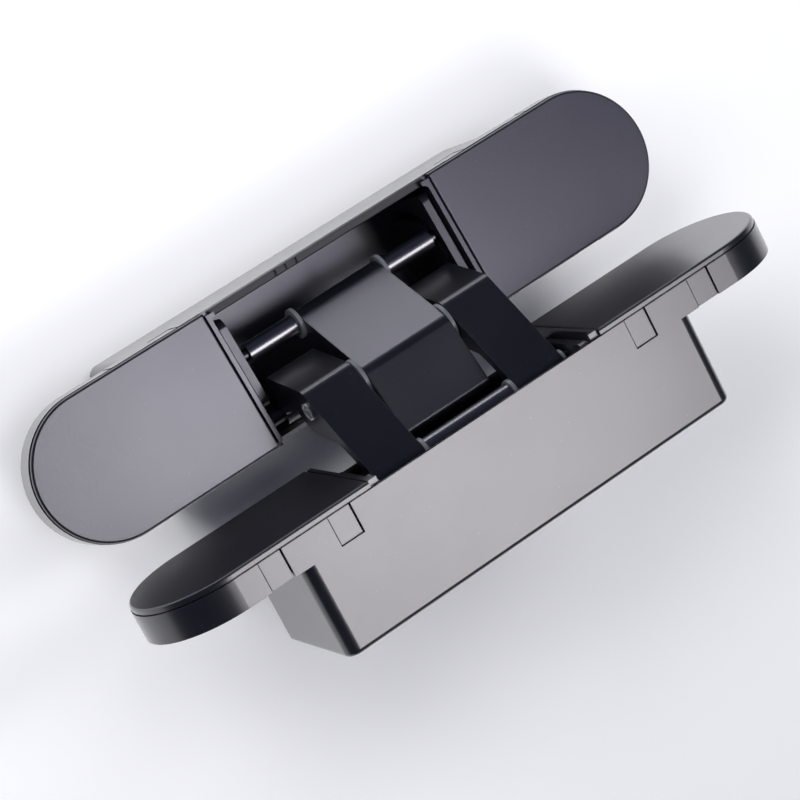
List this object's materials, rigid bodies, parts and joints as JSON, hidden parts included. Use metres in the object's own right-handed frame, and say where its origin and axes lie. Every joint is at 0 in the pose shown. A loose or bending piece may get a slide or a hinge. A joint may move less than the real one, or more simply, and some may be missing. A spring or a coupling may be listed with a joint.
{
  "type": "concealed door hinge",
  "caption": "Concealed invisible door hinge: equal round-ended leaves with deep boxes and flat covers, joined by crossing bent arms that fold away.",
  "frame": {"origin": "middle of the back of the frame leaf's box, the flat that goes to the bottom of the mortise; the face of that leaf is at z = 25 mm", "axes": "+X along the hinge axis and the length of both leaves, +Y from the frame leaf towards its knuckle edge, +Z out of the face of the frame leaf"},
  "size_m": [0.146, 0.065, 0.0608],
  "materials": {
    "casting": "satin black lacquer on die-cast zinc",
    "cover": "satin black lacquer with a fine orange peel",
    "end_plate": "satin black",
    "arm": "satin black lacquer",
    "track": "black painted steel plate",
    "steel": "turned steel",
    "shaft": "blackened steel",
    "sleeve": "black sleeve",
    "washer": "grey nylon"
  },
  "bodies": {
    "frame_leaf": {"frame_body": "casting", "frame_end_plate_left": "end_plate", "frame_end_plate_right": "end_plate", "frame_cover_left": "cover", "frame_cover_right": "cover", "frame_track_left": "track", "frame_track_right": "track", "frame_clamp_screws": "steel", "frame_pivot_pins": "shaft"},
    "outer_arms": {"outer_arm_left": "arm", "outer_arm_right": "arm", "centre_pin": "steel", "crossing_washer_left": "washer", "crossing_washer_right": "washer", "door_slide_shaft": "shaft", "door_spacer_tube": "sleeve", "door_inner_washer_left": "washer", "door_inner_washer_right": "washer", "door_outer_washer_left": "washer", "door_outer_washer_right": "washer"},
    "central_arm": {"central_arm": "arm", "frame_slide_shaft": "shaft", "frame_sleeve_left": "sleeve", "frame_sleeve_right": "sleeve", "frame_washer_left": "washer", "frame_washer_right": "washer"},
    "door_leaf": {"door_body": "casting", "door_end_plate_left": "end_plate", "door_end_plate_right": "end_plate", "door_cover_left": "cover", "door_cover_right": "cover", "door_track_left": "track", "door_track_right": "track", "door_clamp_screws": "steel", "door_pivot_pin": "shaft"}
  },
  "joints": [
    {"name": "outer_fold", "type": "hinge", "parent": "frame_leaf", "child": "outer_arms", "pos_m": [0, 0.0102, 0.02175], "axis": [-1, 0, 0], "range_deg": [-69.69, 59.9]},
    {"name": "centre_fold", "type": "hinge", "parent": "outer_arms", "child": "central_arm", "pos_m": [0, 0.0106, 0.03676], "axis": [1, 0, 0], "range_deg": [-42.6, 36.61]},
    {"name": "door_fold", "type": "hinge", "parent": "central_arm", "child": "door_leaf", "pos_m": [0, 0.02555, 0.03538], "axis": [-1, 0, 0], "range_deg": [-69.7, 59.91]}
  ],
  "couplings": [
    {"joint": "centre_fold", "follows": "outer_fold", "ratio": 0.61111},
    {"joint": "door_fold", "follows": "outer_fold", "ratio": 1}
  ]
}
